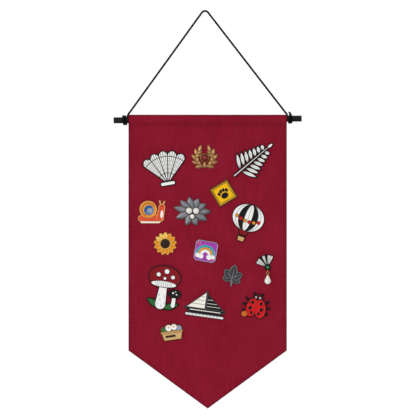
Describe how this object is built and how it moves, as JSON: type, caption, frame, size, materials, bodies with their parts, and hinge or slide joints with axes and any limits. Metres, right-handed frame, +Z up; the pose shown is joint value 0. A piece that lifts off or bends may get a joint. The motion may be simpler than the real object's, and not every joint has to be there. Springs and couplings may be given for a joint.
{
  "type": "pin display banner",
  "caption": "Pennant of red canvas on a round black rod, hung from a wall nail by a cord, that shows a collection of enamel and metal pins held by clutches behind it.",
  "frame": {"origin": "where the wall nail carries the hanger cord, under the top of its bend", "axes": "+Z up; the front of the banner, with the pins, faces -Y; +X is to the right seen from the front"},
  "size_m": [0.2389, 0.0149, 0.506],
  "materials": {
    "cloth": "plain woven canvas, dyed dark red",
    "rod": "satin black",
    "cord": "black braided cord",
    "clutch": "matte black",
    "gold": "antique gold plating",
    "silver": "antique silver plating",
    "pewter": "dark pewter plating",
    "white_enamel": "gloss enamel on metal",
    "black_enamel": "gloss enamel on metal",
    "yellow_enamel": "gloss enamel on metal",
    "purple_enamel": "gloss enamel on metal",
    "red_enamel": "gloss enamel on metal",
    "brass_enamel": "brass with gloss enamel",
    "silver_enamel": "silver-plated metal with gloss enamel",
    "ruby": "polished",
    "emerald": "polished",
    "pearl": "pearl lustre"
  },
  "bodies": {
    "hanger": {"rod": "rod", "hanger_cord": "cord", "left_hitch": "cord", "right_hitch": "cord"},
    "banner": {"banner_cloth": "cloth"},
    "drop": {"pearl_drop": "pearl"},
    "shell": {"shell_pin": "white_enamel"},
    "wreath": {"wreath_pin": "gold", "wreath_cabochon": "ruby"},
    "fern": {"fern_pin": "white_enamel"},
    "paw": {"paw_pin": "yellow_enamel"},
    "snail": {"snail_pin": "brass_enamel"},
    "spray": {"spray_pin": "silver", "spray_pearl_1": "pearl", "spray_pearl_2": "pearl", "spray_pearl_3": "pearl"},
    "balloon": {"balloon_pin": "white_enamel"},
    "sunflower": {"sunflower_pin": "brass_enamel"},
    "rainbow": {"rainbow_pin": "purple_enamel"},
    "toadstool": {"toadstool_pin": "white_enamel"},
    "sailboat": {"sailboat_pin": "silver_enamel"},
    "ivy": {"ivy_pin": "pewter"},
    "fan": {"fan_pin": "black_enamel", "fan_stone": "emerald"},
    "ladybird": {"ladybird_pin": "red_enamel"},
    "basket": {"basket_pin": "brass_enamel"},
    "shell_clutch_1": {"shell_clutch_1": "clutch"},
    "shell_clutch_2": {"shell_clutch_2": "clutch"},
    "wreath_clutch": {"wreath_clutch": "clutch"},
    "fern_clutch_1": {"fern_clutch_1": "clutch"},
    "fern_clutch_2": {"fern_clutch_2": "clutch"},
    "paw_clutch": {"paw_clutch": "clutch"},
    "snail_clutch": {"snail_clutch": "clutch"},
    "spray_clutch": {"spray_clutch": "clutch"},
    "balloon_clutch_1": {"balloon_clutch_1": "clutch"},
    "balloon_clutch_2": {"balloon_clutch_2": "clutch"},
    "sunflower_clutch": {"sunflower_clutch": "clutch"},
    "rainbow_clutch": {"rainbow_clutch": "clutch"},
    "toadstool_clutch_1": {"toadstool_clutch_1": "clutch"},
    "toadstool_clutch_2": {"toadstool_clutch_2": "clutch"},
    "sailboat_clutch_1": {"sailboat_clutch_1": "clutch"},
    "sailboat_clutch_2": {"sailboat_clutch_2": "clutch"},
    "ivy_clutch": {"ivy_clutch": "clutch"},
    "fan_clutch": {"fan_clutch": "clutch"},
    "ladybird_clutch": {"ladybird_clutch": "clutch"},
    "basket_clutch": {"basket_clutch": "clutch"}
  },
  "joints": [
    {"name": "banner_swing", "type": "hinge", "parent": "hanger", "child": "banner", "pos_m": [0.00335, 0, -0.1364], "axis": [-1, 0, 0], "range_deg": [-90, 120]},
    {"name": "drop_swing", "type": "hinge", "parent": "fan", "child": "drop", "pos_m": [0.07957, -0.0033, -0.33086], "axis": [0, 1, 0], "range_deg": [-38, 38]},
    {"name": "shell_draw", "type": "slide", "parent": "banner", "child": "shell", "axis": [0, -1, 0], "range_m": [0, 0.012]},
    {"name": "wreath_draw", "type": "slide", "parent": "banner", "child": "wreath", "axis": [0, -1, 0], "range_m": [0, 0.012]},
    {"name": "fern_draw", "type": "slide", "parent": "banner", "child": "fern", "axis": [0, -1, 0], "range_m": [0, 0.012]},
    {"name": "paw_draw", "type": "slide", "parent": "banner", "child": "paw", "axis": [0, -1, 0], "range_m": [0, 0.012]},
    {"name": "snail_draw", "type": "slide", "parent": "banner", "child": "snail", "axis": [0, -1, 0], "range_m": [0, 0.012]},
    {"name": "spray_draw", "type": "slide", "parent": "banner", "child": "spray", "axis": [0, -1, 0], "range_m": [0, 0.012]},
    {"name": "balloon_draw", "type": "slide", "parent": "banner", "child": "balloon", "axis": [0, -1, 0], "range_m": [0, 0.012]},
    {"name": "sunflower_draw", "type": "slide", "parent": "banner", "child": "sunflower", "axis": [0, -1, 0], "range_m": [0, 0.012]},
    {"name": "rainbow_draw", "type": "slide", "parent": "banner", "child": "rainbow", "axis": [0, -1, 0], "range_m": [0, 0.012]},
    {"name": "toadstool_draw", "type": "slide", "parent": "banner", "child": "toadstool", "axis": [0, -1, 0], "range_m": [0, 0.012]},
    {"name": "sailboat_draw", "type": "slide", "parent": "banner", "child": "sailboat", "axis": [0, -1, 0], "range_m": [0, 0.012]},
    {"name": "ivy_draw", "type": "slide", "parent": "banner", "child": "ivy", "axis": [0, -1, 0], "range_m": [0, 0.012]},
    {"name": "fan_draw", "type": "slide", "parent": "banner", "child": "fan", "axis": [0, -1, 0], "range_m": [0, 0.012]},
    {"name": "ladybird_draw", "type": "slide", "parent": "banner", "child": "ladybird", "axis": [0, -1, 0], "range_m": [0, 0.012]},
    {"name": "basket_draw", "type": "slide", "parent": "banner", "child": "basket", "axis": [0, -1, 0], "range_m": [0, 0.012]},
    {"name": "shell_clutch_1_pull", "type": "slide", "parent": "banner", "child": "shell_clutch_1", "axis": [0, 1, 0], "range_m": [0, 0.012]},
    {"name": "shell_clutch_2_pull", "type": "slide", "parent": "banner", "child": "shell_clutch_2", "axis": [0, 1, 0], "range_m": [0, 0.012]},
    {"name": "wreath_clutch_pull", "type": "slide", "parent": "banner", "child": "wreath_clutch", "axis": [0, 1, 0], "range_m": [0, 0.012]},
    {"name": "fern_clutch_1_pull", "type": "slide", "parent": "banner", "child": "fern_clutch_1", "axis": [0, 1, 0], "range_m": [0, 0.012]},
    {"name": "fern_clutch_2_pull", "type": "slide", "parent": "banner", "child": "fern_clutch_2", "axis": [0, 1, 0], "range_m": [0, 0.012]},
    {"name": "paw_clutch_pull", "type": "slide", "parent": "banner", "child": "paw_clutch", "axis": [0, 1, 0], "range_m": [0, 0.012]},
    {"name": "snail_clutch_pull", "type": "slide", "parent": "banner", "child": "snail_clutch", "axis": [0, 1, 0], "range_m": [0, 0.012]},
    {"name": "spray_clutch_pull", "type": "slide", "parent": "banner", "child": "spray_clutch", "axis": [0, 1, 0], "range_m": [0, 0.012]},
    {"name": "balloon_clutch_1_pull", "type": "slide", "parent": "banner", "child": "balloon_clutch_1", "axis": [0, 1, 0], "range_m": [0, 0.012]},
    {"name": "balloon_clutch_2_pull", "type": "slide", "parent": "banner", "child": "balloon_clutch_2", "axis": [0, 1, 0], "range_m": [0, 0.012]},
    {"name": "sunflower_clutch_pull", "type": "slide", "parent": "banner", "child": "sunflower_clutch", "axis": [0, 1, 0], "range_m": [0, 0.012]},
    {"name": "rainbow_clutch_pull", "type": "slide", "parent": "banner", "child": "rainbow_clutch", "axis": [0, 1, 0], "range_m": [0, 0.012]},
    {"name": "toadstool_clutch_1_pull", "type": "slide", "parent": "banner", "child": "toadstool_clutch_1", "axis": [0, 1, 0], "range_m": [0, 0.012]},
    {"name": "toadstool_clutch_2_pull", "type": "slide", "parent": "banner", "child": "toadstool_clutch_2", "axis": [0, 1, 0], "range_m": [0, 0.012]},
    {"name": "sailboat_clutch_1_pull", "type": "slide", "parent": "banner", "child": "sailboat_clutch_1", "axis": [0, 1, 0], "range_m": [0, 0.012]},
    {"name": "sailboat_clutch_2_pull", "type": "slide", "parent": "banner", "child": "sailboat_clutch_2", "axis": [0, 1, 0], "range_m": [0, 0.012]},
    {"name": "ivy_clutch_pull", "type": "slide", "parent": "banner", "child": "ivy_clutch", "axis": [0, 1, 0], "range_m": [0, 0.012]},
    {"name": "fan_clutch_pull", "type": "slide", "parent": "banner", "child": "fan_clutch", "axis": [0, 1, 0], "range_m": [0, 0.012]},
    {"name": "ladybird_clutch_pull", "type": "slide", "parent": "banner", "child": "ladybird_clutch", "axis": [0, 1, 0], "range_m": [0, 0.012]},
    {"name": "basket_clutch_pull", "type": "slide", "parent": "banner", "child": "basket_clutch", "axis": [0, 1, 0], "range_m": [0, 0.012]}
  ]
}
